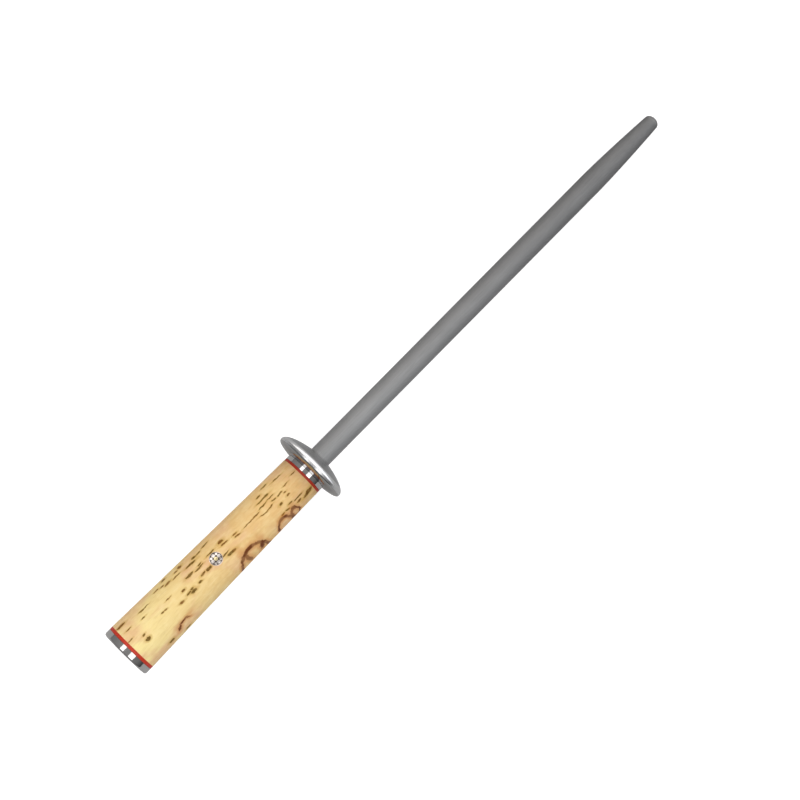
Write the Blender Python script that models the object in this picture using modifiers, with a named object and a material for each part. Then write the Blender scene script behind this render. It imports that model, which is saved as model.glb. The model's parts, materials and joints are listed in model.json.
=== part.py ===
"""Butcher's sharpening steel: a round steel rod with a domed guard and a flared birch grip.

Every turned piece is modelled about its own +Z axis, which points towards the rod's tip, with
z = 0 in the plane of the guard's rim. The empty steel_axis carries them all. It lays the steel on
a bench at z = 0, resting on the guard's rim and on the rod's tip, with the tip towards +X. The
origin is under the middle of the steel.
"""

import math

import bmesh
import bpy
from mathutils import Vector

# Driving dimensions, in metres.
ROD_LENGTH = 0.230              # from the guard's front face to the tip
ROD_RADIUS = 0.00555
TIP_TAPER_LENGTH = 0.045        # the stretch that narrows, with the domed end
TIP_RADIUS = 0.00375            # where the taper meets the domed end
TIP_DOME_LENGTH = 0.0028
TIP_TAPER_POWER = 1.5           # above 1, the taper starts gently

TANG_RADIUS = 0.00475
THREAD_RADIUS = 0.004           # the tang's end, which screws into the end cap
THREAD_LENGTH = 0.0125
THREAD_CHAMFER = 0.0008

GUARD_RADIUS = 0.0191
GUARD_FRONT_RISE = 0.00675      # height of the front dome above the rim's plane, at the axis
GUARD_FRONT_POWERS = (1.45, 1.9)
GUARD_BACK_RISE = 0.0035
GUARD_BACK_POWERS = (1.85, 3.6)
GUARD_SOCKET_DEPTH = 0.0035     # how far the rod's full diameter is let into the guard

COLLAR_RADIUS = 0.01085
COLLAR_FRONT = -0.0031          # the flat seat turned in the guard's back
COLLAR_LENGTH = 0.0023
FRONT_SPACER_THICKNESS = 0.00125
GRIP_LENGTH = 0.1102
GRIP_FRONT_RADIUS = 0.0109
GRIP_REAR_RADIUS = 0.0132
GRIP_FLARE_CURVE = 0.26         # 0 is a straight cone; more keeps the flare for the rear
REAR_SPACER_THICKNESS = 0.0016
CAP_THICKNESS = 0.0036
CAP_EDGE_RADIUS = 0.0011
BOSS_RADIUS = 0.0065            # the end cap's threaded boss, let into the grip
BOSS_LENGTH = 0.0075
BOSS_WALL = 0.0016              # metal left between the blind thread and the end face

PIN_RADIUS = 0.00325
PIN_TUBE_WALL = 0.00035
CENTRE_ROD_RADIUS = 0.00092
LARGE_ROD_RADIUS = 0.00078
LARGE_ROD_CIRCLE = 0.0019       # distance of the large rods from the pin's centre
SMALL_ROD_RADIUS = 0.00058
SMALL_ROD_CIRCLE = 0.00215

GAP = 0.0003                    # between pieces that seat on each other
PIN_GAP = 0.0001                # between the pin and its hole
INLAY_GAP = 0.00004             # between the pin's rods, resin and tube

SEGMENTS = 48                   # facets around a turned piece
PIN_SEGMENTS = 32
WIRE_SEGMENTS = 16
TIP_DOME_STEPS = 6              # straight stretches in each curved part of an outline
TAPER_STEPS = 8
GUARD_FRONT_STEPS = 12
GUARD_BACK_STEPS = 8
GRIP_STEPS = 10
CAP_EDGE_STEPS = 5
SHARP_ANGLE = math.radians(30)
MERGE = 0.00001

# Stations along the axis, worked out from the dimensions above.
COLLAR_REAR = COLLAR_FRONT - COLLAR_LENGTH
GRIP_FRONT = COLLAR_REAR - FRONT_SPACER_THICKNESS
GRIP_REAR = GRIP_FRONT - GRIP_LENGTH
CAP_FRONT = GRIP_REAR - REAR_SPACER_THICKNESS
BUTT = CAP_FRONT - CAP_THICKNESS
PIN_STATION = (GRIP_FRONT + GRIP_REAR) / 2
TANG_BORE_RADIUS = TANG_RADIUS + GAP
BOSS_BORE_RADIUS = BOSS_RADIUS + GAP
PIN_BLANK_LENGTH = 2.4 * GRIP_REAR_RADIUS   # longer than the grip is thick, to be cut flush
CUTTER_LENGTH = 3 * GRIP_REAR_RADIUS
STEEPEST_DIP = math.radians(10)             # more than the steel can dip on a bench
DIP_HALVINGS = 50

COLLECTION_NAME = "sharpening_steel"


def clear_scene():
    for obj in list(bpy.data.objects):
        bpy.data.objects.remove(obj, do_unlink=True)


def new_collection(name):
    collection = bpy.data.collections.new(name)
    bpy.context.scene.collection.children.link(collection)
    return collection


def new_material(name, colour, roughness, metallic):
    material = bpy.data.materials.new(name)
    material.use_nodes = True
    material.diffuse_color = (*colour, 1.0)
    shader = material.node_tree.nodes["Principled BSDF"]
    shader.inputs["Base Color"].default_value = (*colour, 1.0)
    shader.inputs["Roughness"].default_value = roughness
    shader.inputs["Metallic"].default_value = metallic
    return material


# ---- Outlines, as (radius, station) points ----

def arc(centre, radius, first, last, steps):
    """Points on an arc. Angles are in degrees, from outwards (0) towards the tip (90)."""
    points = []
    for step in range(steps + 1):
        angle = math.radians(first + (last - first) * step / steps)
        points.append((centre[0] + radius * math.cos(angle), centre[1] + radius * math.sin(angle)))
    return points


def dome_height(radius, rise, powers):
    bulge, roundness = powers
    return rise * max(0.0, 1 - (radius / GUARD_RADIUS) ** bulge) ** (1 / roundness)


def dome(inner_radius, rise, powers, steps):
    """One face of the guard, from its inner edge out to the rim, closer together at the rim."""
    points = []
    for step in range(steps + 1):
        share = math.sin(math.pi / 2 * step / steps)
        radius = inner_radius + (GUARD_RADIUS - inner_radius) * share
        points.append((radius, dome_height(radius, rise, powers)))
    return points


def guard_front_station():
    """Where the rod leaves the guard's front dome."""
    return dome_height(ROD_RADIUS, GUARD_FRONT_RISE, GUARD_FRONT_POWERS)


def guard_outline():
    socket_radius = ROD_RADIUS + GAP
    seat = guard_front_station() - GUARD_SOCKET_DEPTH - GAP
    front = dome(socket_radius, GUARD_FRONT_RISE, GUARD_FRONT_POWERS, GUARD_FRONT_STEPS)
    back = dome(COLLAR_RADIUS, GUARD_BACK_RISE, GUARD_BACK_POWERS, GUARD_BACK_STEPS)
    outline = list(front)
    outline += [(radius, -height) for radius, height in reversed(back[1:-1])]
    outline += [(COLLAR_RADIUS + GAP, COLLAR_FRONT), (TANG_BORE_RADIUS, COLLAR_FRONT)]
    outline += [(TANG_BORE_RADIUS, seat), (socket_radius, seat)]
    return outline


def rod_outline():
    """The rod, its tang and the tang's thread, from the tip down to the thread's end."""
    root = guard_front_station()
    tip = root + ROD_LENGTH
    dome_base = tip - TIP_DOME_LENGTH
    taper_start = tip - TIP_TAPER_LENGTH
    shoulder = root - GUARD_SOCKET_DEPTH
    thread_end = BUTT + BOSS_WALL + GAP
    thread_start = thread_end + THREAD_LENGTH
    outline = []
    for step in range(TIP_DOME_STEPS):
        angle = math.pi / 2 * step / TIP_DOME_STEPS
        outline.append((TIP_RADIUS * math.sin(angle), dome_base + TIP_DOME_LENGTH * math.cos(angle)))
    for step in range(TAPER_STEPS + 1):
        share = 1 - step / TAPER_STEPS
        radius = ROD_RADIUS - (ROD_RADIUS - TIP_RADIUS) * share ** TIP_TAPER_POWER
        outline.append((radius, taper_start + (dome_base - taper_start) * share))
    outline += [(ROD_RADIUS, shoulder), (TANG_RADIUS, shoulder)]
    outline += [(TANG_RADIUS, thread_start), (THREAD_RADIUS, thread_start - THREAD_CHAMFER)]
    outline += [(THREAD_RADIUS, thread_end + THREAD_CHAMFER)]
    outline += [(THREAD_RADIUS - THREAD_CHAMFER, thread_end), (0.0, thread_end)]
    return outline


def ring_outline(outer_radius, inner_radius, front, rear):
    return [(outer_radius, front), (outer_radius, rear), (inner_radius, rear), (inner_radius, front)]


def grip_radius(share):
    """The grip's radius at a share of its length, from its front (0) to its rear (1)."""
    flare = (1 - GRIP_FLARE_CURVE) * share + GRIP_FLARE_CURVE * share * share
    return GRIP_FRONT_RADIUS + (GRIP_REAR_RADIUS - GRIP_FRONT_RADIUS) * flare


def grip_side(front, rear):
    points = []
    for step in range(GRIP_STEPS + 1):
        station = front + (rear - front) * step / GRIP_STEPS
        points.append((grip_radius((GRIP_FRONT - station) / GRIP_LENGTH), station))
    return points


def grip_outline():
    front = GRIP_FRONT - GAP / 2
    rear = GRIP_REAR + GAP / 2
    boss_seat = CAP_FRONT + BOSS_LENGTH + GAP
    outline = grip_side(front, rear)
    outline += [(BOSS_BORE_RADIUS, rear), (BOSS_BORE_RADIUS, boss_seat)]
    outline += [(TANG_BORE_RADIUS, boss_seat), (TANG_BORE_RADIUS, front)]
    return outline


def end_cap_outline():
    front = CAP_FRONT - GAP / 2
    boss_front = CAP_FRONT + BOSS_LENGTH
    bore_radius = THREAD_RADIUS + GAP
    edge_centre = (GRIP_REAR_RADIUS - CAP_EDGE_RADIUS, BUTT + CAP_EDGE_RADIUS)
    outline = [(bore_radius, boss_front), (BOSS_RADIUS, boss_front), (BOSS_RADIUS, front)]
    outline += [(GRIP_REAR_RADIUS, front)]
    outline += arc(edge_centre, CAP_EDGE_RADIUS, 0, -90, CAP_EDGE_STEPS)
    outline += [(0.0, BUTT), (0.0, BUTT + BOSS_WALL), (bore_radius, BUTT + BOSS_WALL)]
    return outline


def resting_dip(rim_outline, tip_outline):
    """How far the axis dips towards the tip when the rim and the tip share a flat bench."""
    def reach(outline, dip):
        return max(station * math.sin(dip) + radius * math.cos(dip) for radius, station in outline)

    low, high = 0.0, STEEPEST_DIP
    for _ in range(DIP_HALVINGS):
        middle = (low + high) / 2
        if reach(rim_outline, middle) > reach(tip_outline, middle):
            low = middle
        else:
            high = middle
    return (low + high) / 2


# ---- Pieces ----

def turned(name, outline, collection, parent, segments=SEGMENTS):
    """A closed or axis-to-axis outline, turned about +Z. A facet, not a corner, faces the bench."""
    mesh = bpy.data.meshes.new(name)
    profile = bmesh.new()
    points = [profile.verts.new((radius, 0.0, station)) for radius, station in outline]
    for first, second in zip(points, points[1:]):
        profile.edges.new((first, second))
    if outline[0][0] > 0 or outline[-1][0] > 0:
        profile.edges.new((points[-1], points[0]))
    profile.to_mesh(mesh)
    profile.free()
    obj = bpy.data.objects.new(name, mesh)
    obj.parent = parent
    obj.rotation_euler = (0.0, 0.0, math.pi / segments)
    collection.objects.link(obj)
    screw = obj.modifiers.new("Turn", "SCREW")
    screw.axis = "Z"
    screw.steps = segments
    screw.render_steps = segments
    screw.use_merge_vertices = True
    screw.merge_threshold = MERGE
    return obj


def cross_cylinder(name, radius, length, segments, collection, parent, offset=(0.0, 0.0)):
    """A cylinder across the grip at the pin's station. offset is across and along the steel."""
    mesh = bpy.data.meshes.new(name)
    shape = bmesh.new()
    bmesh.ops.create_cone(
        shape,
        cap_ends=True,
        segments=segments,
        radius1=radius,
        radius2=radius,
        depth=length,
    )
    shape.to_mesh(mesh)
    shape.free()
    obj = bpy.data.objects.new(name, mesh)
    obj.parent = parent
    obj.location = (0.0, offset[0], PIN_STATION + offset[1])
    obj.rotation_euler = (0.0, math.pi / 2, 0.0)
    collection.objects.link(obj)
    return obj


def boolean(obj, operation, cutter):
    modifier = obj.modifiers.new(f"{operation.title()} {cutter.name}", "BOOLEAN")
    modifier.operation = operation
    modifier.solver = "EXACT"
    modifier.object = cutter


def as_cutter(obj):
    obj.hide_render = True
    obj.display_type = "WIRE"
    return obj


def finish(obj, material):
    """Applies the modifiers, then shades the round faces smooth and keeps the edges sharp."""
    graph = bpy.context.evaluated_depsgraph_get()
    mesh = bpy.data.meshes.new_from_object(obj.evaluated_get(graph))
    mesh.name = obj.name
    mesh.materials.clear()
    mesh.materials.append(material)
    mesh.shade_smooth()
    mesh.set_sharp_from_angle(angle=SHARP_ANGLE)
    obj.modifiers.clear()
    obj.data = mesh


def around(count, circle, first_angle):
    """Evenly spaced centres on a circle about the pin's centre."""
    angles = [first_angle + 2 * math.pi * index / count for index in range(count)]
    return [(circle * math.sin(angle), circle * math.cos(angle)) for angle in angles]


def mosaic_wires():
    """Name, radius and centre of each rod that is inlaid in the pin."""
    wires = [("mosaic_pin_centre_rod", CENTRE_ROD_RADIUS, (0.0, 0.0))]
    for index, centre in enumerate(around(4, LARGE_ROD_CIRCLE, 0.0), start=1):
        wires.append((f"mosaic_pin_large_rod_{index}", LARGE_ROD_RADIUS, centre))
    for index, centre in enumerate(around(4, SMALL_ROD_CIRCLE, math.pi / 4), start=1):
        wires.append((f"mosaic_pin_small_rod_{index}", SMALL_ROD_RADIUS, centre))
    return wires


def mosaic_pin(parts, cutters, axis, envelope, materials):
    """A tube across the grip, inlaid with rods set in resin, its ends flush with the wood."""
    tube_bore = PIN_RADIUS - PIN_TUBE_WALL
    half_blank = PIN_BLANK_LENGTH / 2
    outline = ring_outline(PIN_RADIUS, tube_bore, half_blank, -half_blank)
    tube = turned("mosaic_pin_tube", outline, parts, axis, PIN_SEGMENTS)
    tube.location = (0.0, 0.0, PIN_STATION)
    tube.rotation_euler = (0.0, math.pi / 2, 0.0)
    boolean(tube, "INTERSECT", envelope)
    finish(tube, materials["tube"])

    resin_radius = tube_bore - INLAY_GAP
    resin = cross_cylinder(
        "mosaic_pin_resin", resin_radius, PIN_BLANK_LENGTH, PIN_SEGMENTS, parts, axis
    )
    for name, radius, centre in mosaic_wires():
        bore = as_cutter(
            cross_cylinder(
                f"bore_{name}",
                radius + INLAY_GAP,
                CUTTER_LENGTH,
                WIRE_SEGMENTS,
                cutters,
                axis,
                centre,
            )
        )
        boolean(resin, "DIFFERENCE", bore)
        wire = cross_cylinder(
            name, radius, PIN_BLANK_LENGTH, WIRE_SEGMENTS, parts, axis, centre
        )
        boolean(wire, "INTERSECT", envelope)
        finish(wire, materials["brass"] if name.endswith("centre_rod") else materials["wire"])
    boolean(resin, "INTERSECT", envelope)
    finish(resin, materials["resin"])


def lay_on_bench(axis, parts):
    """Moves the steel so that its box stands on z = 0, centred on the origin."""
    bpy.context.view_layer.update()
    corners = []
    for obj in parts.objects:
        if obj.type == "MESH":
            corners += [obj.matrix_world @ vertex.co for vertex in obj.data.vertices]
    low = Vector([min(corner[index] for corner in corners) for index in range(3)])
    high = Vector([max(corner[index] for corner in corners) for index in range(3)])
    axis.location = (-(low.x + high.x) / 2, -(low.y + high.y) / 2, -low.z)
    bpy.context.view_layer.update()


def build():
    clear_scene()
    parts = new_collection(COLLECTION_NAME)
    cutters = new_collection("cutters")

    rod_steel = new_material("rod_steel", (0.27, 0.27, 0.27), 0.45, 1.0)
    guard_steel = new_material("guard_steel", (0.55, 0.55, 0.56), 0.32, 1.0)
    polished_steel = new_material("polished_steel", (0.72, 0.71, 0.70), 0.12, 1.0)
    red_fibre = new_material("red_fibre", (0.54, 0.03, 0.02), 0.5, 0.0)
    birch = new_material("birch", (0.80, 0.60, 0.32), 0.45, 0.0)
    pin_materials = {
        "tube": new_material("pin_tube_steel", (0.62, 0.56, 0.50), 0.3, 1.0),
        "wire": new_material("pin_rod_steel", (0.60, 0.52, 0.47), 0.28, 1.0),
        "brass": new_material("pin_brass", (0.72, 0.52, 0.22), 0.28, 1.0),
        "resin": new_material("pin_resin", (0.05, 0.03, 0.02), 0.5, 0.0),
    }

    axis = bpy.data.objects.new("steel_axis", None)
    parts.objects.link(axis)
    axis.rotation_euler = (0.0, math.pi / 2 + resting_dip(guard_outline(), rod_outline()), 0.0)
    bpy.context.view_layer.update()

    pin_hole = as_cutter(
        cross_cylinder(
            "cross_hole",
            PIN_RADIUS + PIN_GAP,
            CUTTER_LENGTH,
            PIN_SEGMENTS,
            cutters,
            axis,
        )
    )
    envelope_outline = [(0.0, GRIP_FRONT)]
    envelope_outline += grip_side(GRIP_FRONT, GRIP_REAR)
    envelope_outline += [(0.0, GRIP_REAR)]
    envelope = as_cutter(turned("grip_envelope", envelope_outline, cutters, axis))

    rod = turned("sharpening_rod", rod_outline(), parts, axis)
    boolean(rod, "DIFFERENCE", pin_hole)
    finish(rod, rod_steel)

    guard = turned("guard", guard_outline(), parts, axis)
    finish(guard, guard_steel)

    half_gap = GAP / 2
    collar_outline = ring_outline(
        COLLAR_RADIUS, TANG_BORE_RADIUS, COLLAR_FRONT - GAP, COLLAR_REAR + half_gap
    )
    finish(turned("front_collar", collar_outline, parts, axis), polished_steel)

    front_spacer_outline = ring_outline(
        COLLAR_RADIUS, TANG_BORE_RADIUS, COLLAR_REAR - half_gap, GRIP_FRONT + half_gap
    )
    finish(turned("front_spacer", front_spacer_outline, parts, axis), red_fibre)

    grip = turned("grip", grip_outline(), parts, axis)
    boolean(grip, "DIFFERENCE", pin_hole)
    finish(grip, birch)

    rear_spacer_outline = ring_outline(
        GRIP_REAR_RADIUS, BOSS_BORE_RADIUS, GRIP_REAR - half_gap, CAP_FRONT + half_gap
    )
    finish(turned("rear_spacer", rear_spacer_outline, parts, axis), red_fibre)

    finish(turned("end_cap", end_cap_outline(), parts, axis), polished_steel)

    mosaic_pin(parts, cutters, axis, envelope, pin_materials)
    lay_on_bench(axis, parts)


build()
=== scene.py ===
"""Visual model of the sharpening steel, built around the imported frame.

Every piece is modelled in the steel's own frame: +Z runs from the butt to the rod's tip, +X is the
side that faces up, and +Y the side that the camera sees at the lower right. A point on a turned
piece is a (radius, station) pair, where the station is its distance from the butt.
"""

import json
import math

import bmesh
import bpy
import numpy as np
from mathutils import Matrix, Vector


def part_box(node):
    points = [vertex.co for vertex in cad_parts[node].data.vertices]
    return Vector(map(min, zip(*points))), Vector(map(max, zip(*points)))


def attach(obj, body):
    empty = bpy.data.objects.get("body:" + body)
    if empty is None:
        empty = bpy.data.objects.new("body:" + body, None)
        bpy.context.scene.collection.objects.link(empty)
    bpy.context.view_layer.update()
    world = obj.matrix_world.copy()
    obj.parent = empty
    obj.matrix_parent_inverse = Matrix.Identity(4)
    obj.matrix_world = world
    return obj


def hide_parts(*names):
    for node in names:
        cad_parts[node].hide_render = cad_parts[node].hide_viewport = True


MM = 0.001

# The turned pieces, in metres.
SEAM = 0.02 * MM                # between neighbours that are clamped or glued together
INSET = 0.005 * MM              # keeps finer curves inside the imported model's box
RIDGES = 96                     # fine lengthwise cuts round the rod
RIDGE_DEPTH = 0.026 * MM
RIDGE_FADE = 6 * MM             # the stretch behind the dome where they fade out
TIP_TAPER_LENGTH = 45 * MM
TIP_RADIUS = 3.74 * MM
TIP_DOME_LENGTH = 2.8 * MM
TIP_TAPER_POWER = 1.5
GUARD_FRONT_RISE = 6.75 * MM
GUARD_FRONT_POWERS = (1.45, 1.9)        # bulge and roundness
GUARD_BACK_RISE = 3.5 * MM
GUARD_BACK_POWERS = (1.85, 3.6)
SOCKET_DEPTH = 3.5 * MM
TANG_RADIUS = 4.75 * MM
THREAD_RADIUS = 4.0 * MM
THREAD_CHAMFER = 0.8 * MM
EDGE_BREAK = 0.12 * MM          # the polished pieces' softened edges
CAP_EDGE_RADIUS = 1.1 * MM

# The mosaic pin. A wire is given by its radius, and its circle by the radius that it stands on.
WIRES_TO_A_CIRCLE = 4
TUBE_WALL = 0.33 * MM
CENTRE_WIRE = 0.96 * MM
LARGE_WIRE = 0.82 * MM
LARGE_CIRCLE = 1.9 * MM
SMALL_WIRE = 0.6 * MM
SMALL_CIRCLE = 2.2 * MM
RESIN_RECESS = 0.03 * MM

# How finely the curves are cut up.
SEGMENTS = 192                  # round a turned piece
ROD_SEGMENTS = 4 * RIDGES
WIRE_SEGMENTS = 32
TUBE_SEGMENTS = 64
CUTTER_SEGMENTS = 64
FACE_RINGS = 3                  # on each end of the pin's rods
DOME_STEPS = 10
TAPER_POINTS = 28
SHANK_POINTS = 60
GUARD_FRONT_STEPS = 40
GUARD_BACK_STEPS = 32
GRIP_POINTS = 60
CAP_EDGE_STEPS = 16

# The camera, placed from the steel's axis.
VIEW_DISTANCE = 1.0365
SENSOR_WIDTH = 36.0
FOCAL_WIDTHS = 2.75             # focal length over the picture's width
VIEW_TILT = math.radians(7.4)   # from square-on, towards the butt
VIEW_ROLL = math.radians(5.0)   # round the axis, towards +Y
AXIS_ANGLE = math.radians(45.37)
TARGET_STATION = 174.0 * MM
TARGET_OFFSET = 7.9 * MM        # how far the view's centre is from the axis, towards +Y

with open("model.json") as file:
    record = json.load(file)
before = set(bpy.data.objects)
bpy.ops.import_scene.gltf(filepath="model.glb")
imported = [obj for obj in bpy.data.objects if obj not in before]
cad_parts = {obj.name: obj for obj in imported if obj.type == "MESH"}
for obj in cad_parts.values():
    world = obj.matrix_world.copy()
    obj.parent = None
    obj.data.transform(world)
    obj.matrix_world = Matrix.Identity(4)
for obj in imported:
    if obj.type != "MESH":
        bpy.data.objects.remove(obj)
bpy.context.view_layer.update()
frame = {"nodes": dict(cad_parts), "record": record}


# ---- The steel's own frame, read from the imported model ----

def steel_matrix():
    """The steel's own frame, from the mount on its butt: +Z along the axis and +X upwards."""
    butt = next(mount for mount in frame["record"]["mounts"] if mount["name"] == "butt_face")
    along = -Vector(butt["axis"]).normalized()
    up = (Vector((0.0, 0.0, 1.0)) - along * along.z).normalized()
    matrix = Matrix((up, along.cross(up), along)).transposed().to_4x4()
    matrix.translation = Vector(butt["pos_m"])
    return matrix


def measure(node):
    """Stations and radii of a CAD node's vertices."""
    inverse = STEEL.inverted()
    points = np.array([inverse @ vertex.co for vertex in frame["nodes"][node].data.vertices])
    return points[:, 2], np.hypot(points[:, 0], points[:, 1])


def front_of(node):
    return float(measure(node)[0].max())


def rear_of(node):
    return float(measure(node)[0].min())


def radius_of(node):
    """Half the node's width, and a hair less."""
    low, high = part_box(node)
    return (high - low).y / 2 - INSET


def bore_of(node):
    return float(measure(node)[1].min())


def rim_station():
    stations, radii = measure("guard")
    return float(stations[radii.argmax()])


def pin_station():
    inverse = STEEL.inverted()
    low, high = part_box("mosaic_pin_tube")
    return (inverse @ ((low + high) / 2)).z


STEEL = steel_matrix()
TIP = front_of("sharpening_rod") - INSET
ROD_RADIUS = radius_of("sharpening_rod")
RIM = rim_station()
GUARD_RADIUS = radius_of("guard")
HALF_GAP = (rear_of("front_collar") - front_of("front_spacer")) / 2
GUARD_SEAT = rear_of("guard")
COLLAR_REAR = rear_of("front_collar") - HALF_GAP
GRIP_FRONT = front_of("grip") + HALF_GAP
GRIP_REAR = rear_of("grip") - HALF_GAP
CAP_FRONT = rear_of("rear_spacer") - HALF_GAP
COLLAR_RADIUS = radius_of("front_collar")
GRIP_FRONT_RADIUS = radius_of("front_spacer")
CAP_RADIUS = radius_of("end_cap")
BOSS_FRONT = front_of("end_cap")
BOSS_RADIUS = bore_of("rear_spacer") - 2 * HALF_GAP
TANG_BORE = TANG_RADIUS + SEAM
CUTTER_LENGTH = 3 * CAP_RADIUS
PIN_STATION = pin_station()
GRIP_MM = (GRIP_FRONT - GRIP_REAR) / MM
MEAN_RADIUS_MM = (GRIP_FRONT_RADIUS + CAP_RADIUS) / 2 / MM


def grip_curve():
    """The grip's outer radius as a quadratic in the station."""
    stations, radii = measure("grip")
    chord = np.interp(stations, [GRIP_REAR, GRIP_FRONT], [CAP_RADIUS, GRIP_FRONT_RADIUS])
    outside = radii > 0.95 * chord          # leaves out the bores
    fit = np.poly1d(np.polyfit(stations[outside], radii[outside], 2))
    return fit * (radius_of("grip") / radii.max())


GRIP_RADIUS = grip_curve()


# ---- Turned shapes ----

def arc(centre, radius, first, last, steps):
    """Points on an arc. Angles are in degrees, from outwards (0) towards the tip (90)."""
    points = []
    for step in range(steps + 1):
        angle = math.radians(first + (last - first) * step / steps)
        points.append((centre[0] + radius * math.cos(angle), centre[1] + radius * math.sin(angle)))
    return points


def lathe(name, outline, closed=True, segments=SEGMENTS, relief=None):
    """Turns an outline about the steel's axis. It runs down the outside from the tip's end."""
    angles = np.arange(segments) * 2 * math.pi / segments
    vertices = []
    rows = []
    for radius, station in outline:
        if radius == 0.0:
            rows.append([len(vertices)] * segments)
            vertices.append((0.0, 0.0, station))
            continue
        rows.append(list(range(len(vertices), len(vertices) + segments)))
        for angle in angles:
            turned = radius - (relief(angle, radius, station) if relief else 0.0)
            vertices.append((turned * math.cos(angle), turned * math.sin(angle), station))
    if closed:
        rows.append(rows[0])
    faces = []
    for upper, lower in zip(rows, rows[1:]):
        for index in range(segments):
            after = (index + 1) % segments
            corners = [upper[index], lower[index], lower[after], upper[after]]
            faces.append(list(dict.fromkeys(corners)))
    mesh = bpy.data.meshes.new(name)
    mesh.from_pydata(vertices, [], faces)
    return new_object(name, mesh)


def new_object(name, data):
    thing = bpy.data.objects.new(name, data)
    bpy.context.scene.collection.objects.link(thing)
    return thing


def object_from(name, shape):
    """An object with a bmesh's shape. The bmesh is freed."""
    mesh = bpy.data.meshes.new(name)
    shape.to_mesh(mesh)
    shape.free()
    return new_object(name, mesh)


def finish_piece(piece, material, slot, *nodes, sharp=30.0):
    """Moves a piece from the steel's frame to the row frame, and dresses and registers it."""
    piece.data.transform(STEEL)
    piece.data.materials.clear()
    piece.data.materials.append(material)
    piece.data.shade_smooth()
    piece.data.set_sharp_from_angle(angle=math.radians(sharp))
    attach(piece, "root")
    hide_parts(*nodes)


def subtract(piece, cutter):
    """Cuts the cutter's shape out of a piece."""
    modifier = piece.modifiers.new("Cut", "BOOLEAN")
    modifier.operation = "DIFFERENCE"
    modifier.solver = "EXACT"
    modifier.object = cutter
    graph = bpy.context.evaluated_depsgraph_get()
    mesh = bpy.data.meshes.new_from_object(piece.evaluated_get(graph))
    piece.modifiers.clear()
    piece.data = mesh


def broken_ring(outer, inner, front, rear):
    """A ring whose outer edges are lightly broken."""
    return [
        (outer - EDGE_BREAK, front),
        (outer, front - EDGE_BREAK),
        (outer, rear + EDGE_BREAK),
        (outer - EDGE_BREAK, rear),
        (inner, rear),
        (inner, front),
    ]


# ---- The rod ----

def guard_height(radius, rise, powers):
    """How far a face of the guard stands from its widest station, at a radius."""
    bulge, roundness = powers
    return rise * max(0.0, 1 - (radius / GUARD_RADIUS) ** bulge) ** (1 / roundness)


def guard_front():
    return RIM + guard_height(ROD_RADIUS, GUARD_FRONT_RISE, GUARD_FRONT_POWERS)


def rod_radius(station):
    """The rod's radius in front of its shoulder."""
    dome_base = TIP - TIP_DOME_LENGTH
    if station > dome_base:
        rise = (station - dome_base) / TIP_DOME_LENGTH
        return TIP_RADIUS * math.sqrt(max(0.0, 1 - rise * rise))
    share = (station - (TIP - TIP_TAPER_LENGTH)) / (TIP_TAPER_LENGTH - TIP_DOME_LENGTH)
    return ROD_RADIUS - (ROD_RADIUS - TIP_RADIUS) * max(0.0, share) ** TIP_TAPER_POWER


def rod_outline():
    dome_base = TIP - TIP_DOME_LENGTH
    taper_start = TIP - TIP_TAPER_LENGTH
    shoulder = guard_front() - SOCKET_DEPTH
    thread_front = BOSS_FRONT + 2 * HALF_GAP
    thread_end = rear_of("sharpening_rod")
    turns = [math.pi / 2 * step / DOME_STEPS for step in range(1, DOME_STEPS)]
    stations = [TIP - TIP_DOME_LENGTH * (1 - math.cos(turn)) for turn in turns]
    stations += list(np.linspace(dome_base, taper_start, TAPER_POINTS))
    stations += list(np.linspace(taper_start, shoulder, SHANK_POINTS))[1:]
    outline = [(0.0, TIP)]
    outline += [(rod_radius(station), station) for station in stations]
    outline += [(TANG_RADIUS, shoulder), (TANG_RADIUS, thread_front)]
    outline += [(THREAD_RADIUS, thread_front - THREAD_CHAMFER)]
    outline += [(THREAD_RADIUS, thread_end + THREAD_CHAMFER)]
    outline += [(THREAD_RADIUS - THREAD_CHAMFER, thread_end), (0.0, thread_end)]
    return outline


def rod_cuts(angle, radius, station):
    """Depth of the lengthwise cuts, which fade out behind the domed tip. The tang has none."""
    if radius < TANG_RADIUS + SEAM and station < RIM:
        return 0.0
    fade = min(1.0, max(0.0, (TIP - TIP_DOME_LENGTH - station) / RIDGE_FADE))
    return RIDGE_DEPTH * fade * (0.5 - 0.5 * math.cos(RIDGES * angle))


# ---- The mosaic pin ----

def skin(across, station):
    """How high the grip's surface stands above a point of the pin's cross-section."""
    return math.sqrt(GRIP_RADIUS(station) ** 2 - across * across)


def plug(name, radius, centre=(0.0, 0.0), recess=0.0, bore=0.0, segments=WIRE_SEGMENTS):
    """A rod or tube across the grip, both ends following the grip's surface."""
    shape = bmesh.new()

    def vertex(end, ring, angle):
        across = centre[0] + ring * math.sin(angle)
        station = PIN_STATION + centre[1] + ring * math.cos(angle)
        return shape.verts.new((end * (skin(across, station) - recess), across, station))

    angles = [2 * math.pi * index / segments for index in range(segments)]
    steps = range(0 if bore else 1, FACE_RINGS + 1)
    rings = [bore + (radius - bore) * step / FACE_RINGS for step in steps]
    ends = []
    for end in (1, -1):
        loops = [[vertex(end, ring, angle) for angle in angles] for ring in rings]
        if not bore:
            middle = vertex(end, 0.0, 0.0)
            for first, second in neighbours(loops[0]):
                shape.faces.new((middle, first, second))
        for inner, outer in zip(loops, loops[1:]):
            bridge(shape, inner, outer)
        ends.append(loops)
    bridge(shape, ends[0][-1], ends[1][-1])
    if bore:
        bridge(shape, ends[0][0], ends[1][0])
    bmesh.ops.recalc_face_normals(shape, faces=shape.faces)
    return object_from(name, shape)


def neighbours(loop):
    """Each vertex of a closed loop with the one after it."""
    return zip(loop, loop[1:] + loop[:1])


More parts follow.
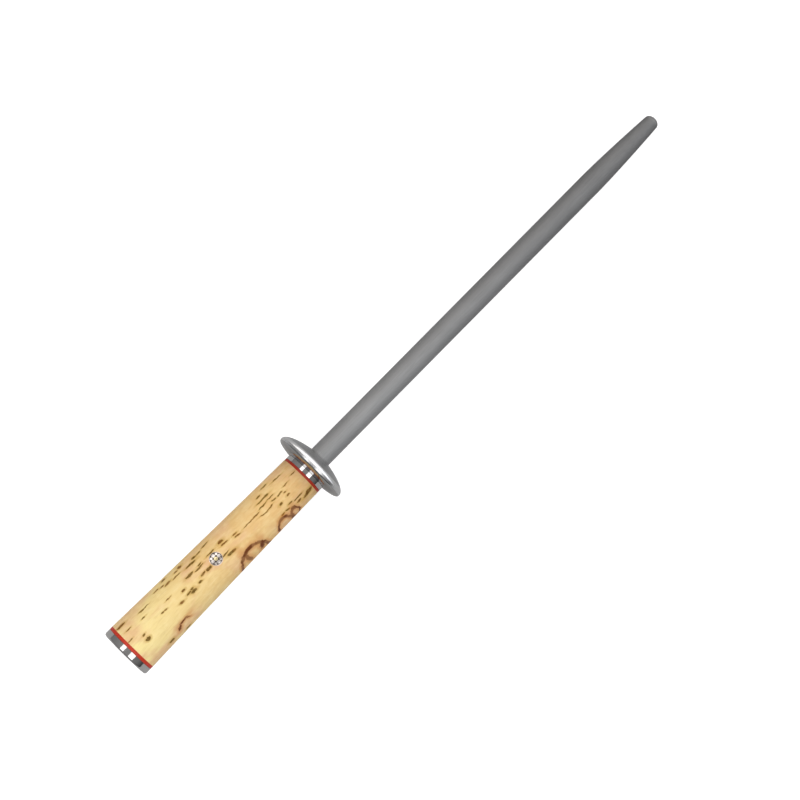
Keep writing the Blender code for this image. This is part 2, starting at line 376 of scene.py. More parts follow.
def bridge(shape, first, second):
    """Faces between two loops with the same number of vertices."""
    for (near, near_after), (far, far_after) in zip(neighbours(first), neighbours(second)):
        shape.faces.new((near, near_after, far_after, far))


def around(count, circle, first_angle):
    """Places on a circle about the pin's centre, evenly spaced."""
    angles = [first_angle + 2 * math.pi * index / count for index in range(count)]
    return [(circle * math.sin(angle), circle * math.cos(angle)) for angle in angles]


def cross_cutter(*cylinders):
    """Cylinders straight across the grip, each a radius and a centre, to cut with."""
    shape = bmesh.new()
    for radius, centre in cylinders:
        place = Matrix.Translation((0.0, centre[0], PIN_STATION + centre[1]))
        bmesh.ops.create_cone(
            shape,
            cap_ends=True,
            segments=CUTTER_SEGMENTS,
            radius1=radius,
            radius2=radius,
            depth=CUTTER_LENGTH,
            matrix=place @ Matrix.Rotation(math.pi / 2, 4, "Y"),
        )
    return object_from("cutter", shape)


def mosaic_wires():
    """Name, radius and centre of each rod in the mosaic pin."""
    wires = [("mosaic_pin_centre_rod", CENTRE_WIRE, (0.0, 0.0))]
    for index, centre in enumerate(around(WIRES_TO_A_CIRCLE, LARGE_CIRCLE, 0.0), start=1):
        wires.append((f"mosaic_pin_large_rod_{index}", LARGE_WIRE, centre))
    between = math.pi / WIRES_TO_A_CIRCLE
    for index, centre in enumerate(around(WIRES_TO_A_CIRCLE, SMALL_CIRCLE, between), start=1):
        wires.append((f"mosaic_pin_small_rod_{index}", SMALL_WIRE, centre))
    return wires


# ---- Materials ----

NOISE_RANGE = (0.3, 0.7)        # most of a noise texture's values lie between these
TURNING_DRIFT = (0.04, 0.04, 0.0)       # the share of its place that a turning mark follows


class Nodes:
    """Short calls for building the node tree of a material or a world."""

    def __init__(self, owner):
        owner.use_nodes = True
        self.owner = owner
        self.tree = owner.node_tree

    def add(self, kind, inputs=None, **settings):
        """A new node. inputs maps sockets, by name or number, to values or to other outputs."""
        node = self.tree.nodes.new(kind)
        for key, value in settings.items():
            setattr(node, key, value)
        for key, value in (inputs or {}).items():
            self.set(node.inputs[key], value)
        return node

    def set(self, socket, value):
        if isinstance(value, bpy.types.NodeSocket):
            self.tree.links.new(value, socket)
        elif socket.type == "RGBA":
            socket.default_value = (*value, 1.0)
        else:
            socket.default_value = value

    def place(self):
        """A point's place in the steel's own frame."""
        return self.add(
            "ShaderNodeMapping",
            {
                "Vector": self.add("ShaderNodeTexCoord").outputs["Object"],
                "Location": STEEL.translation,
                "Rotation": STEEL.to_euler(),
            },
            vector_type="TEXTURE",
        ).outputs[0]

    def turning(self, place):
        """A point's radius and station, and a little of its place, for marks that run round."""
        radius = self.length(self.scaled(place, (1.0, 1.0, 0.0)))
        station = self.split(place)[2]
        marks = self.add("ShaderNodeCombineXYZ", {0: radius, 2: station}).outputs[0]
        return self.push(place, TURNING_DRIFT, marks)

    def split(self, vector):
        return self.add("ShaderNodeSeparateXYZ", {0: vector}).outputs

    def length(self, vector):
        return self.add("ShaderNodeVectorMath", {0: vector}, operation="LENGTH").outputs["Value"]

    def scaled(self, vector, scale):
        return self.add(
            "ShaderNodeVectorMath", {0: vector, 1: scale}, operation="MULTIPLY"
        ).outputs[0]

    def push(self, vector, scale, base):
        """The base, moved by the scaled vector."""
        return self.add(
            "ShaderNodeVectorMath", {0: vector, 1: scale, 2: base}, operation="MULTIPLY_ADD"
        ).outputs[0]

    def noise(self, vector, scale, detail=3.0, roughness=0.5, distortion=0.0, output="Fac"):
        return self.add(
            "ShaderNodeTexNoise",
            {
                "Vector": vector,
                "Scale": scale,
                "Detail": detail,
                "Roughness": roughness,
                "Distortion": distortion,
            },
        ).outputs[output]

    def remap(self, value, low, high, to_low, to_high, smooth=False):
        return self.add(
            "ShaderNodeMapRange",
            {"Value": value, "From Min": low, "From Max": high, "To Min": to_low, "To Max": to_high},
            interpolation_type="SMOOTHSTEP" if smooth else "LINEAR",
        ).outputs["Result"]

    def vary(self, noise, to_low, to_high):
        """A noise's usual range, stretched to another."""
        return self.remap(noise, *NOISE_RANGE, to_low, to_high)

    def math(self, operation, first, second=0.0):
        return self.add("ShaderNodeMath", {0: first, 1: second}, operation=operation).outputs[0]

    def mix(self, factor, first, second):
        """A colour between two others."""
        return self.add(
            "ShaderNodeMix", {0: factor, 6: first, 7: second}, data_type="RGBA"
        ).outputs[2]

    def mix_values(self, factor, first, second):
        return self.add("ShaderNodeMix", {0: factor, 2: first, 3: second}).outputs[0]

    def ramp(self, factor, stops):
        node = self.add("ShaderNodeValToRGB", {"Fac": factor})
        elements = node.color_ramp.elements
        while len(elements) < len(stops):
            elements.new(0.5)
        for element, (position, colour) in zip(elements, stops):
            element.position = position
            element.color = (*colour, 1.0)
        return node.outputs["Color"]

    def bump(self, height, strength, distance):
        return self.add(
            "ShaderNodeBump", {"Height": height, "Strength": strength, "Distance": distance}
        ).outputs["Normal"]

    def finish(self, **inputs):
        """Sets the shader's inputs, named with underscores for spaces."""
        shader = self.tree.nodes["Principled BSDF"]
        for name, value in inputs.items():
            self.set(shader.inputs[name.replace("_", " ")], value)
        return self.owner


def grey(value):
    """A neutral colour."""
    return (value, value, value)


def rod_material():
    """Dull satin steel with fine streaks along the rod, and painted shade that darkens it towards
    the tip.
    """
    nodes = Nodes(bpy.data.materials.new("rod_steel"))
    place = nodes.place()
    lengthwise = nodes.scaled(place, (1.0, 1.0, 0.02))
    streaks = nodes.noise(lengthwise, scale=5200.0, detail=4.0, roughness=0.6)
    cloud = nodes.noise(place, scale=55.0, detail=2.0)
    colour = nodes.mix(nodes.vary(cloud, 0.0, 1.0), grey(0.345), grey(0.375))
    colour = nodes.mix(nodes.vary(streaks, 0.0, 0.35), colour, grey(0.295))
    # Painted shade: the colour darkens from behind the guard to the tip.
    station = nodes.split(place)[2]
    painted_tip_shade_start = RIM + 30 * MM
    painted_tip_shade = nodes.remap(station, painted_tip_shade_start, TIP, 0.0, 0.4)
    colour = nodes.mix(painted_tip_shade, colour, grey(0.0))
    roughness = nodes.vary(streaks, 0.62, 0.74)
    normal = nodes.bump(streaks, strength=0.25, distance=0.02 * MM)
    return nodes.finish(Base_Color=colour, Metallic=1.0, Roughness=roughness, Normal=normal)


# Where the guard's finish and its painted highlight band change, as stations in front of its widest
# one.
GUARD_BACK_TO_RIM = (-1.1 * MM, -0.6 * MM)
GUARD_RIM_TO_FRONT = (1.7 * MM, 2.1 * MM)


def guard_material():
    """Satin and darker in front, polished on the back, and painted paler on the rounded rim as a
    highlight band.
    """
    nodes = Nodes(bpy.data.materials.new("guard_steel"))
    place = nodes.place()
    station = nodes.math("SUBTRACT", nodes.split(place)[2], RIM)
    fine = nodes.noise(nodes.turning(place), scale=4200.0, detail=4.0, roughness=0.6)
    cloud = nodes.noise(place, scale=120.0, detail=2.0)
    off_back = nodes.remap(station, *GUARD_BACK_TO_RIM, 0.0, 1.0, smooth=True)
    off_highlight_band = nodes.remap(station, *GUARD_RIM_TO_FRONT, 0.0, 1.0, smooth=True)
    satin = nodes.vary(fine, 0.26, 0.34)
    roughness = nodes.mix_values(off_back, 0.15, satin)
    # Painted highlight: the rim's paler colour stands in for the bright reflection along it.
    colour = nodes.mix(nodes.vary(cloud, 0.0, 1.0), grey(0.59), grey(0.65))
    colour = nodes.mix(off_back, grey(0.41), colour)
    colour = nodes.mix(off_highlight_band, colour, grey(0.37))
    normal = nodes.bump(fine, strength=0.12, distance=0.01 * MM)
    return nodes.finish(Base_Color=colour, Metallic=1.0, Roughness=roughness, Normal=normal)


def polished_material():
    """Mirror-polished stainless steel with faint polishing lines round the piece."""
    nodes = Nodes(bpy.data.materials.new("polished_steel"))
    place = nodes.place()
    lines = nodes.noise(nodes.turning(place), scale=7000.0, roughness=0.6)
    smear = nodes.noise(place, scale=260.0)
    roughness = nodes.vary(smear, 0.05, 0.11)
    normal = nodes.bump(lines, strength=0.05, distance=0.01 * MM)
    smeared = nodes.remap(smear, 0.35, 0.65, 0.0, 1.0)
    colour = nodes.mix(smeared, (0.53, 0.52, 0.51), (0.57, 0.56, 0.55))
    return nodes.finish(Base_Color=colour, Metallic=1.0, Roughness=roughness, Normal=normal)


def fibre_material():
    """Red vulcanised fibre, sanded flush."""
    nodes = Nodes(bpy.data.materials.new("red_fibre"))
    lengthwise = nodes.scaled(nodes.place(), (1.0, 1.0, 0.2))
    fibres = nodes.noise(lengthwise, scale=3000.0, detail=4.0, roughness=0.65)
    tone = nodes.vary(fibres, 0.0, 1.0)
    colour = nodes.mix(tone, (0.40, 0.020, 0.007), (0.59, 0.042, 0.013))
    roughness = nodes.vary(fibres, 0.38, 0.52)
    normal = nodes.bump(fibres, strength=0.2, distance=0.02 * MM)
    return nodes.finish(
        Base_Color=colour, Roughness=roughness, Normal=normal, Specular_IOR_Level=0.35
    )


def wire_material(name, dark, light):
    """A sanded metal end, with fine scratches."""
    nodes = Nodes(bpy.data.materials.new(name))
    lengthwise = nodes.scaled(nodes.place(), (1.0, 1.0, 0.15))
    scratches = nodes.noise(lengthwise, scale=9000.0, roughness=0.6)
    colour = nodes.mix(nodes.vary(scratches, 0.0, 1.0), dark, light)
    roughness = nodes.vary(scratches, 0.22, 0.36)
    normal = nodes.bump(scratches, strength=0.15, distance=0.01 * MM)
    return nodes.finish(Base_Color=colour, Metallic=1.0, Roughness=roughness, Normal=normal)


def resin_material():
    """Dark cured resin between the pin's rods."""
    nodes = Nodes(bpy.data.materials.new("pin_resin"))
    dust = nodes.noise(nodes.place(), scale=6000.0)
    tone = nodes.vary(dust, 0.0, 1.0)
    colour = nodes.mix(tone, (0.035, 0.02, 0.012), (0.07, 0.045, 0.03))
    roughness = nodes.vary(dust, 0.35, 0.6)
    normal = nodes.bump(dust, strength=0.2, distance=0.02 * MM)
    return nodes.finish(Base_Color=colour, Roughness=roughness, Normal=normal)


# ---- The birch ----

# The wood's figure: distance behind the grip's front in mm, angle from the top in degrees
# (towards +Y positive), length, width and lean.
FLECKS = (
    (107.5, -47, 5.0, 1.5, 0),
    (106.0, -26, 3.5, 0.6, 0),
    (108.5, -6, 2.6, 0.6, 0),
    (102.5, 5, 1.8, 0.8, 0),
    (102.5, 17, 3.0, 1.5, 0),
    (97.5, -21, 2.6, 0.5, 0),
    (96.0, -37, 2.8, 0.8, 0),
    (94.0, -37, 5.0, 0.5, 0),
    (95.5, 65, 3.5, 1.6, 0),
    (89.5, 0, 2.2, 0.8, -6),
    (87.5, 1, 1.8, 0.8, -10),
    (86.0, 77, 3.5, 1.4, 0),
    (83.5, -12, 3.0, 0.5, 0),
    (84.5, -50, 2.6, 1.0, 0),
    (81.5, -46, 2.4, 0.9, 0),
    (80.0, 14, 3.6, 1.0, -4),
    (79.0, -62, 2.6, 1.6, 0),
    (78.5, -41, 3.0, 1.2, 4),
    (76.0, -1, 2.2, 1.0, 0),
    (75.0, 11, 2.6, 0.9, 0),
    (73.5, -38, 5.4, 0.65, -2),
    (72.5, -50, 2.2, 1.0, 0),
    (72.5, 9, 3.0, 1.0, -4),
    (72.5, 15, 3.8, 1.3, -4),
    (69.5, -53, 2.8, 1.8, 0),
    (69.0, -16, 4.8, 1.1, 0),
    (67.5, 11, 2.2, 1.0, 0),
    (65.0, -34, 6.5, 1.2, -4),
    (64.5, -12, 3.4, 0.7, -8),
    (64.0, 3, 3.0, 1.1, 0),
    (63.0, -13, 4.2, 0.8, 0),
    (62.7, -17.8, 2.6, 0.7, 0),
    (62.0, -42, 3.0, 1.3, -10),
    (60.5, 4, 3.6, 1.3, 6),
    (59.0, -42, 3.0, 0.8, 0),
    (55.0, -18.5, 4.6, 0.8, 0),
    (54.5, -46, 4.0, 0.8, 6),
    (50.5, 8, 4.0, 0.7, 8),
    (48.5, -21, 3.6, 1.5, 0),
    (47.5, -12, 4.4, 0.9, -5),
    (47.5, 15, 5.4, 1.5, -3),
    (41.0, -10, 2.8, 0.8, 0),
    (40.5, -3, 3.6, 0.8, -6),
    (33.0, -4, 7.0, 0.5, -2),
    (28.0, -5, 4.5, 0.6, 4),
    (25.0, 6, 5.0, 0.5, -8),
    (22.5, -10, 6.0, 0.6, 3),
    (21.0, 5, 4.5, 0.5, 8),
    (21.0, -36, 2.6, 0.8, 0),
    (20.5, -22, 7.5, 0.8, 0),
    (19.0, 41, 2.2, 0.9, 0),
    (18.0, -23, 1.8, 0.9, 0),
    (17.5, -12, 4.0, 0.5, -2),
    (17.0, -2, 2.6, 0.8, -8),
    (16.5, 18, 2.4, 1.1, 0),
    (16.0, 41, 3.0, 1.0, -6),
    (16.0, -48, 3.0, 1.1, 0),
    (13.5, -1, 3.0, 0.8, 8),
    (13.0, 33, 2.6, 1.0, 0),
    (11.0, 4.5, 2.0, 0.7, 0),
    (11.0, 14.5, 1.7, 1.1, 0),
    (9.5, -37, 6.0, 0.65, -2),
    (8.5, -8, 3.4, 0.6, 4),
    (8.5, 37, 5.6, 0.9, 2),
    (9.0, 47, 2.6, 1.2, 0),
    (3.2, 48, 7.5, 2.2, 18),
    (2.5, -15, 3.4, 0.6, 0),
)
# Reddish strokes, the same.
STROKES = (
    (88.9, 54.5, 3.6, 1.7, 42),
    (85.4, 46, 5.4, 1.2, 6),
    (82.6, 49, 2.6, 1.0, -35),
    (44.0, 60, 8.0, 2.4, 101),
    (35.5, 62, 6.0, 2.4, 80),
)
# Reddish loops, with the line's width in place of the lean.
LOOPS = (
    (41.0, 90, 17.8, 21.5, 2.5),
    (20.5, 79, 8.6, 12.8, 2.0),
    (13.5, 70, 4.2, 8.5, 1.9),
)
REACH = 3.5                     # how far a mark's stain can spread, as a multiple of its size
STROKE_SOFTNESS = 0.65          # where a stroke's outline lies, if a loop's line ends at 1
WAVER = (3.2, 1.3, 0.0)         # how much noise pushes the marks about, in mm along and round

# The side that the lists leave out, as angles from the top in degrees. Its marks are scattered,
# one to a cell: cells to a mm along and round, their randomness, the share of them that is nearly
# empty, and the smallest and largest mark as shares of a cell.
UNSEEN = (88, 280)
SCATTERED_FLECKS = ((0.16, 0.42, 0.0), 0.9, 0.35, (0.02, 0.3))
SCATTERED_LOOPS = ((0.055, 0.07, 0.0), 0.8, 0.3, (0.02, 0.42))
LOOP_FINENESS = 22.0            # half line widths to a cell
OUT_OF_REACH = 9.0              # keeps the scattered marks off the side that the lists cover

# The ground's colours from the grip's front (0) to its rear (1), and the tones over it.
GROUND = ((0.0, (0.78, 0.48, 0.195)), (0.5, (0.79, 0.54, 0.225)), (1.0, (0.90, 0.745, 0.335)))
PINKISH = (0.77, 0.47, 0.25)
CURL_CREAM = (0.92, 0.72, 0.34)
FIBRE_BROWN = (0.45, 0.27, 0.10)
STREAK_BROWN = (0.56, 0.35, 0.12)
RIPPLE_CREAM = (0.95, 0.80, 0.45)
FLECK_STAIN = (0.52, 0.29, 0.035)
FLECK_OLIVE = (0.130, 0.066, 0.003)
FLECK_BROWN = (0.180, 0.066, 0.006)
LOOP_STAIN = (0.56, 0.21, 0.05)
LOOP_BROWN = (0.14, 0.036, 0.006)


def wavering_surface(nodes, place, behind, angle):
    """The grip's surface unrolled, in mm, and pushed about by noise to give the marks wavy edges."""
    around_grip = nodes.math("MULTIPLY", angle, MEAN_RADIUS_MM)
    unrolled = nodes.add("ShaderNodeCombineXYZ", {0: behind, 1: around_grip}).outputs[0]
    wave = nodes.noise(place, scale=420.0, roughness=0.6, output="Color")
    centred = nodes.add(
        "ShaderNodeVectorMath", {0: wave, 1: (0.5, 0.5, 0.5)}, operation="SUBTRACT"
    ).outputs[0]
    return nodes.push(centred, WAVER, unrolled)


def nearness(nodes, surface, centre, degrees, length, width, lean=0.0):
    """1 in the middle of an ellipse on the unrolled surface, down to 0 at REACH times its size.

    A spherical gradient takes few of the renderer's stack places, so the lists can be long.
    """
    mapping = nodes.add(
        "ShaderNodeMapping",
        {
            "Vector": surface,
            "Location": (centre, math.radians(degrees) * MEAN_RADIUS_MM, 0.0),
            "Rotation": (0.0, 0.0, math.radians(lean)),
            "Scale": (REACH * length / 2, REACH * width / 2, 1.0),
        },
        vector_type="TEXTURE",
    ).outputs[0]
    return nodes.add(
        "ShaderNodeTexGradient", {"Vector": mapping}, gradient_type="SPHERICAL"
    ).outputs["Fac"]


def nearest(nodes, surface, marks):
    """The nearness of the nearest of the marks in a list."""
    near = 0.0
    for mark in marks:
        near = nodes.math("MAXIMUM", nearness(nodes, surface, *mark), near)
    return near


def listed_marks(nodes, surface):
    """Distances to the listed marks: 1 on a fleck's outline, and 0 to 1 within a reddish line."""
    fleck = nodes.remap(nearest(nodes, surface, FLECKS), 0.0, 1.0, REACH, 0.0)
    stroke_reach = STROKE_SOFTNESS * REACH
    loop = nodes.remap(nearest(nodes, surface, STROKES), 0.0, 1.0, stroke_reach, 0.0)
    for centre, degrees, length, width, line in LOOPS:
        near = nearness(nodes, surface, centre, degrees, length, width)
        distance = nodes.math("ABSOLUTE", nodes.remap(near, 0.0, 1.0, REACH - 1.0, -1.0))
        distance = nodes.math("MULTIPLY", distance, min(length, width) / line)
        loop = nodes.math("MINIMUM", loop, distance)
    return fleck, loop


def scatter(nodes, surface, cells_to_mm, randomness, empty, sizes):
    """The distance to the nearest cell's middle, and the size of its mark."""
    cells = nodes.add(
        "ShaderNodeTexVoronoi",
        {"Vector": nodes.scaled(surface, cells_to_mm), "Scale": 1.0, "Randomness": randomness},
        voronoi_dimensions="2D",
    ).outputs
    chance = nodes.add("ShaderNodeSeparateColor", {0: cells["Color"]}).outputs[0]
    return cells["Distance"], nodes.remap(chance, empty, 1.0, *sizes)


def scattered_marks(nodes, surface, angle):
    """The same distances for the marks on the unseen side."""
    middle = math.radians(sum(UNSEEN) / 2)
    half = math.radians((UNSEEN[1] - UNSEEN[0]) / 2)
    facing = nodes.math("COSINE", nodes.math("SUBTRACT", angle, middle))
    unseen = nodes.math("GREATER_THAN", facing, math.cos(half))
    away = nodes.math("MULTIPLY", nodes.math("SUBTRACT", 1.0, unseen), OUT_OF_REACH)
    distance, size = scatter(nodes, surface, *SCATTERED_FLECKS)
    fleck = nodes.math("ADD", nodes.math("DIVIDE", distance, size), away)
    distance, size = scatter(nodes, surface, *SCATTERED_LOOPS)
    off_line = nodes.math("ABSOLUTE", nodes.math("SUBTRACT", distance, size))
    loop = nodes.math("ADD", nodes.math("MULTIPLY", off_line, LOOP_FINENESS), away)
    return fleck, loop


def birch_ground(nodes, place, behind, fibres):
    """Pale wood that drifts from front to rear, with pinkish patches, curl and streaks."""
    ground = nodes.ramp(nodes.remap(behind, 0.0, GRIP_MM, 0.0, 1.0), GROUND)
    stretched = nodes.scaled(place, (1.0, 1.0, 0.5))
    patches = nodes.noise(stretched, scale=95.0, detail=2.0, distortion=0.4)
    amount = nodes.remap(patches, 0.47, 0.66, 0.0, 0.8, smooth=True)
    ground = nodes.mix(amount, ground, PINKISH)
    crosswise = nodes.scaled(place, (0.4, 0.4, 1.0))
    curl = nodes.noise(crosswise, scale=170.0, detail=2.0, distortion=0.3)
    ground = nodes.mix(nodes.remap(curl, 0.48, 0.66, 0.0, 0.3), ground, CURL_CREAM)
    ground = nodes.mix(nodes.vary(fibres, 0.0, 0.14), ground, FIBRE_BROWN)
    lengthwise = nodes.scaled(place, (1.0, 1.0, 0.14))
    streaks = nodes.noise(lengthwise, scale=900.0, roughness=0.6, distortion=0.3)
    ground = nodes.mix(nodes.remap(streaks, 0.54, 0.72, 0.0, 0.3), ground, STREAK_BROWN)
    stretched = nodes.scaled(place, (1.0, 1.0, 0.45))
    ripple = nodes.noise(stretched, scale=420.0, roughness=0.6, distortion=0.6)
    return nodes.mix(nodes.remap(ripple, 0.45, 0.75, 0.0, 0.3), ground, RIPPLE_CREAM)


def marked(nodes, place, ground, fleck, loop):
    """The ground with the flecks and loops in it, each inside a paler stain."""
    stain = nodes.remap(fleck, 0.9, 2.3, 0.55, 0.0, smooth=True)
    colour = nodes.mix(stain, ground, FLECK_STAIN)
    strength = nodes.remap(nodes.noise(place, scale=900.0, detail=2.0), 0.3, 0.6, 0.75, 1.0)
    core = nodes.math("MULTIPLY", nodes.remap(fleck, 0.8, 1.15, 1.0, 0.0, smooth=True), strength)
    redder = nodes.remap(nodes.noise(place, scale=75.0, detail=1.0), 0.47, 0.57, 0.0, 1.0)
    colour = nodes.mix(core, colour, nodes.mix(redder, FLECK_OLIVE, FLECK_BROWN))
    stain = nodes.remap(loop, 0.7, 2.2, 0.55, 0.0, smooth=True)
    colour = nodes.mix(stain, colour, LOOP_STAIN)
    strength = nodes.remap(nodes.noise(place, scale=230.0, detail=1.0), 0.42, 0.56, 0.7, 1.0)
    line = nodes.math("MULTIPLY", nodes.remap(loop, 0.4, 0.9, 1.0, 0.0, smooth=True), strength)
    return nodes.mix(line, colour, LOOP_BROWN)


def birch_material():
    """Pale curly birch with dark flecks along the grain and reddish loops."""
    nodes = Nodes(bpy.data.materials.new("birch"))
    place = nodes.place()
    point = nodes.split(place)
    angle = nodes.math("ARCTAN2", point[1], point[0])
    behind = nodes.remap(point[2], GRIP_REAR, GRIP_FRONT, GRIP_MM, 0.0)
    surface = wavering_surface(nodes, place, behind, angle)
    fleck, loop = listed_marks(nodes, surface)
    more_fleck, more_loop = scattered_marks(nodes, surface, angle)
    fleck = nodes.math("MINIMUM", fleck, more_fleck)
    loop = nodes.math("MINIMUM", loop, more_loop)
    lengthwise = nodes.scaled(place, (1.0, 1.0, 0.05))
    fibres = nodes.noise(lengthwise, scale=3600.0, detail=4.0, roughness=0.6)
    ground = birch_ground(nodes, place, behind, fibres)
    return nodes.finish(
        Base_Color=marked(nodes, place, ground, fleck, loop),
        Roughness=nodes.vary(fibres, 0.42, 0.54),
        Normal=nodes.bump(fibres, strength=0.12, distance=0.04 * MM),
        Specular_IOR_Level=0.2,
    )


# ---- Pieces ----

def build_rod(pin_hole):
    rod = lathe("rod", rod_outline(), closed=False, segments=ROD_SEGMENTS, relief=rod_cuts)
    subtract(rod, pin_hole)
    finish_piece(rod, rod_material(), "rod_steel", "sharpening_rod", sharp=40.0)


def build_guard():
    socket = ROD_RADIUS + SEAM
    socket_end = guard_front() - SOCKET_DEPTH - SEAM
    outline = []
    for step in range(GUARD_FRONT_STEPS + 1):
        share = math.sin(math.pi / 2 * step / GUARD_FRONT_STEPS)
        radius = socket + (GUARD_RADIUS - socket) * share
        height = guard_height(radius, GUARD_FRONT_RISE, GUARD_FRONT_POWERS)
        outline.append((radius, RIM + height))
    for step in range(1, GUARD_BACK_STEPS):
        share = math.cos(math.pi / 2 * step / GUARD_BACK_STEPS)
        radius = COLLAR_RADIUS + (GUARD_RADIUS - COLLAR_RADIUS) * share
        height = guard_height(radius, GUARD_BACK_RISE, GUARD_BACK_POWERS)
        outline.append((radius, RIM - height))
    outline += [(COLLAR_RADIUS + SEAM, GUARD_SEAT), (TANG_BORE, GUARD_SEAT)]
    outline += [(TANG_BORE, socket_end), (socket, socket_end)]
    finish_piece(lathe("guard_disc", outline), guard_material(), "guard_steel", "guard")


def build_collar(polished):
    outline = broken_ring(COLLAR_RADIUS, TANG_BORE, GUARD_SEAT - SEAM, COLLAR_REAR + SEAM / 2)
    finish_piece(lathe("collar", outline), polished, "polished_steel", "front_collar")


def build_spacers(fibre):
    front = [
        (COLLAR_RADIUS, COLLAR_REAR - SEAM / 2),
        (GRIP_FRONT_RADIUS, GRIP_FRONT + SEAM / 2),
        (TANG_BORE, GRIP_FRONT + SEAM / 2),
        (TANG_BORE, COLLAR_REAR - SEAM / 2),
    ]
    finish_piece(lathe("front_ring", front), fibre, "red_fibre", "front_spacer")
    rear = [
        (CAP_RADIUS, GRIP_REAR - SEAM / 2),
        (CAP_RADIUS, CAP_FRONT + SEAM / 2),
        (BOSS_RADIUS + SEAM, CAP_FRONT + SEAM / 2),
        (BOSS_RADIUS + SEAM, GRIP_REAR - SEAM / 2),
    ]
    finish_piece(lathe("rear_ring", rear), fibre, "red_fibre", "rear_spacer")


def build_grip(pin_hole):
    front = GRIP_FRONT - SEAM / 2
    rear = GRIP_REAR + SEAM / 2
    boss_seat = BOSS_FRONT + SEAM
    stations = np.linspace(front, rear, GRIP_POINTS)
    outline = [(float(GRIP_RADIUS(station)), station) for station in stations]
    outline += [(BOSS_RADIUS + SEAM, rear), (BOSS_RADIUS + SEAM, boss_seat)]
    outline += [(TANG_BORE, boss_seat), (TANG_BORE, front)]
    grip = lathe("birch_grip", outline)
    subtract(grip, pin_hole)
    finish_piece(grip, birch_material(), "birch", "grip")


def build_end_cap(polished):
    front = CAP_FRONT - SEAM / 2
    thread_bore = THREAD_RADIUS + SEAM
    blind_end = rear_of("sharpening_rod") - SEAM
    edge_centre = (CAP_RADIUS - CAP_EDGE_RADIUS, INSET + CAP_EDGE_RADIUS)
    outline = [(thread_bore, BOSS_FRONT), (BOSS_RADIUS, BOSS_FRONT), (BOSS_RADIUS, front)]
    outline += [(CAP_RADIUS - EDGE_BREAK, front), (CAP_RADIUS, front - EDGE_BREAK)]
    outline += arc(edge_centre, CAP_EDGE_RADIUS, 0, -90, CAP_EDGE_STEPS)
    outline += [(0.0, INSET), (0.0, blind_end), (thread_bore, blind_end)]
    finish_piece(lathe("cap", outline), polished, "polished_steel", "end_cap")


def build_mosaic_pin(radius):
    steel = wire_material("pin_rod_steel", (0.60, 0.53, 0.49), (0.80, 0.73, 0.68))
    brass = wire_material("pin_brass", (0.72, 0.58, 0.30), (0.88, 0.76, 0.46))
    tube_steel = wire_material("pin_tube_steel", (0.52, 0.43, 0.38), (0.68, 0.58, 0.52))
    tube = plug("pin_tube", radius - SEAM, bore=radius - TUBE_WALL, segments=TUBE_SEGMENTS)
    finish_piece(tube, tube_steel, "pin_tube_steel", "mosaic_pin_tube")
    resin = plug("pin_resin", radius - TUBE_WALL - SEAM, recess=RESIN_RECESS)
    wires = mosaic_wires()
    holes = cross_cutter(*((wire_radius + SEAM / 2, centre) for _, wire_radius, centre in wires))
    subtract(resin, holes)
    bpy.data.objects.remove(holes)
    for name, wire_radius, centre in wires:
        wire = plug(name.replace("mosaic_", ""), wire_radius, centre)
        if name == "mosaic_pin_centre_rod":
            finish_piece(wire, brass, "pin_brass", name)
        else:
            finish_piece(wire, steel, "pin_rod_steel", name)
    finish_piece(resin, resin_material(), "pin_resin", "mosaic_pin_resin")


def build_steel():
    pin_radius = radius_of("mosaic_pin_tube")
    pin_hole = cross_cutter((pin_radius, (0.0, 0.0)))
    polished = polished_material()
    build_rod(pin_hole)
    build_guard()
    build_collar(polished)
    build_spacers(fibre_material())
    build_grip(pin_hole)
    build_end_cap(polished)
    bpy.data.objects.remove(pin_hole)
    build_mosaic_pin(pin_radius)


# ---- Studio ----

FLOOR_RADIUS = 1.2
FLOOR_SEGMENTS = 128
FLOOR_FADE = (0.5, 1.1)         # distances from the middle, over which it fades away
FLOOR_GLOW = 0.8                # the floor is a light table, as the camera sees it
BACKDROP = 1.0
# Each strip light's angle from straight up in degrees, towards world +Y, then its distance, width
# and radiance.
STRIPS = (
    (-30.0, 1.05, 0.42, 2.1),
    (17.0, 1.05, 0.31, 2.1),
)
STRIP_ENDS = (-0.65, 0.2)       # along the world's X
SKY_BEARING = math.radians(15)  # the sky is brightest at this angle from straight up, towards +Y
SKY_GREYS = ((0.0, 0.07), (0.38, 0.07), (0.48, 0.16), (0.60, 0.25), (0.80, 0.28), (1.0, 0.36))
WINDOW = 2.1                    # brightness of the sky beyond the tip
WINDOW_EDGE = (0.24, 0.5)       # where it fades in, as the direction's X component
WINDOW_SIDES = (-0.7, 0.7)      # where its tints are reached, as the direction's Y component
WINDOW_TINTS = ((0.97, 0.99, 1.03), (1.03, 1.0, 0.97))


def build_floor():
    """A pale floor that fades into the backdrop."""
    shape = bmesh.new()
    bmesh.ops.create_circle(shape, cap_ends=True, segments=FLOOR_SEGMENTS, radius=FLOOR_RADIUS)
    floor = object_from("floor", shape)
    nodes = Nodes(bpy.data.materials.new("floor_paper"))
    place = nodes.add("ShaderNodeTexCoord").outputs["Object"]
    grain = nodes.vary(nodes.noise(place, scale=60.0), 0.0, 0.1)
    seen = nodes.add("ShaderNodeLightPath").outputs["Is Camera Ray"]
    floor.data.materials.append(
        nodes.finish(
            Base_Color=nodes.mix(grain, grey(0.5), grey(0.44)),
            Roughness=0.9,
            Specular_IOR_Level=0.1,
            Alpha=nodes.remap(nodes.length(place), *FLOOR_FADE, 1.0, 0.0, smooth=True),
            Emission_Color=grey(1.0),
            Emission_Strength=nodes.math("MULTIPLY", seen, FLOOR_GLOW),
        )
    )


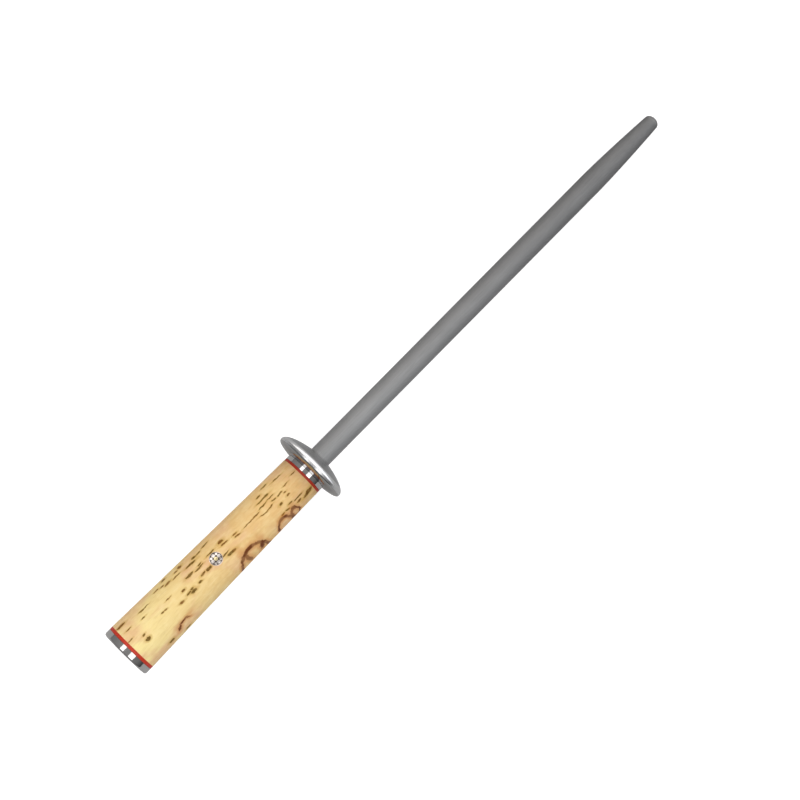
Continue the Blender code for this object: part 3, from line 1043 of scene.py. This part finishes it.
def build_lights():
    length = STRIP_ENDS[1] - STRIP_ENDS[0]
    for index, (degrees, distance, width, radiance) in enumerate(STRIPS, start=1):
        light = bpy.data.lights.new(f"strip_{index}", "AREA")
        light.shape = "RECTANGLE"
        light.size = length
        light.size_y = width
        light.energy = radiance * math.pi * width * length
        lamp = new_object(light.name, light)
        angle = math.radians(degrees)
        lamp.location = (
            sum(STRIP_ENDS) / 2,
            distance * math.sin(angle),
            distance * math.cos(angle),
        )
        lamp.rotation_euler = (-angle, 0.0, 0.0)


def build_sky():
    """Soft surroundings with a window beyond the tip. The camera sees a plain pale backdrop."""
    world = bpy.data.worlds.new("studio")
    bpy.context.scene.world = world
    nodes = Nodes(world)
    direction = nodes.add("ShaderNodeTexCoord").outputs["Generated"]
    brightest = (0.0, math.sin(SKY_BEARING), math.cos(SKY_BEARING))
    facing = nodes.add(
        "ShaderNodeVectorMath", {0: direction, 1: brightest}, operation="DOT_PRODUCT"
    ).outputs["Value"]
    sky = nodes.ramp(
        nodes.remap(facing, -1.0, 1.0, 0.0, 1.0),
        [(position, grey(value)) for position, value in SKY_GREYS],
    )
    parts = nodes.split(direction)
    window = nodes.remap(parts[0], *WINDOW_EDGE, 0.0, WINDOW, smooth=True)
    side = nodes.remap(parts[1], *WINDOW_SIDES, 0.0, 1.0, smooth=True)
    share = nodes.math("MULTIPLY", window, 1.0 / WINDOW)
    surroundings = nodes.mix(share, sky, nodes.mix(side, *WINDOW_TINTS))
    strength = nodes.math("MAXIMUM", window, 1.0)
    seen = nodes.add("ShaderNodeLightPath").outputs["Is Camera Ray"]
    background = nodes.tree.nodes["Background"]
    nodes.set(background.inputs["Color"], nodes.mix(seen, surroundings, grey(BACKDROP)))
    nodes.set(background.inputs["Strength"], nodes.math("MAXIMUM", strength, seen))


def build_camera():
    up, side, along = (STEEL.to_3x3().col[index] for index in range(3))
    back = up * math.cos(VIEW_ROLL) + side * math.sin(VIEW_ROLL)
    back = (back * math.cos(VIEW_TILT) - along * math.sin(VIEW_TILT)).normalized()
    flat = (along - back * along.dot(back)).normalized()
    left = back.cross(flat)
    right = flat * math.cos(AXIS_ANGLE) - left * math.sin(AXIS_ANGLE)
    top = flat * math.sin(AXIS_ANGLE) + left * math.cos(AXIS_ANGLE)
    target = STEEL @ Vector((0.0, 0.0, TARGET_STATION)) - left * TARGET_OFFSET
    data = bpy.data.cameras.new("camera")
    data.sensor_width = SENSOR_WIDTH
    data.lens = FOCAL_WIDTHS * SENSOR_WIDTH
    camera = new_object("camera", data)
    matrix = Matrix((right, top, back)).transposed().to_4x4()
    matrix.translation = target + back * VIEW_DISTANCE
    camera.matrix_world = matrix
    bpy.context.scene.camera = camera


build_camera()
build_steel()
build_floor()
build_lights()
build_sky()
bpy.context.scene.view_settings.view_transform = "Standard"
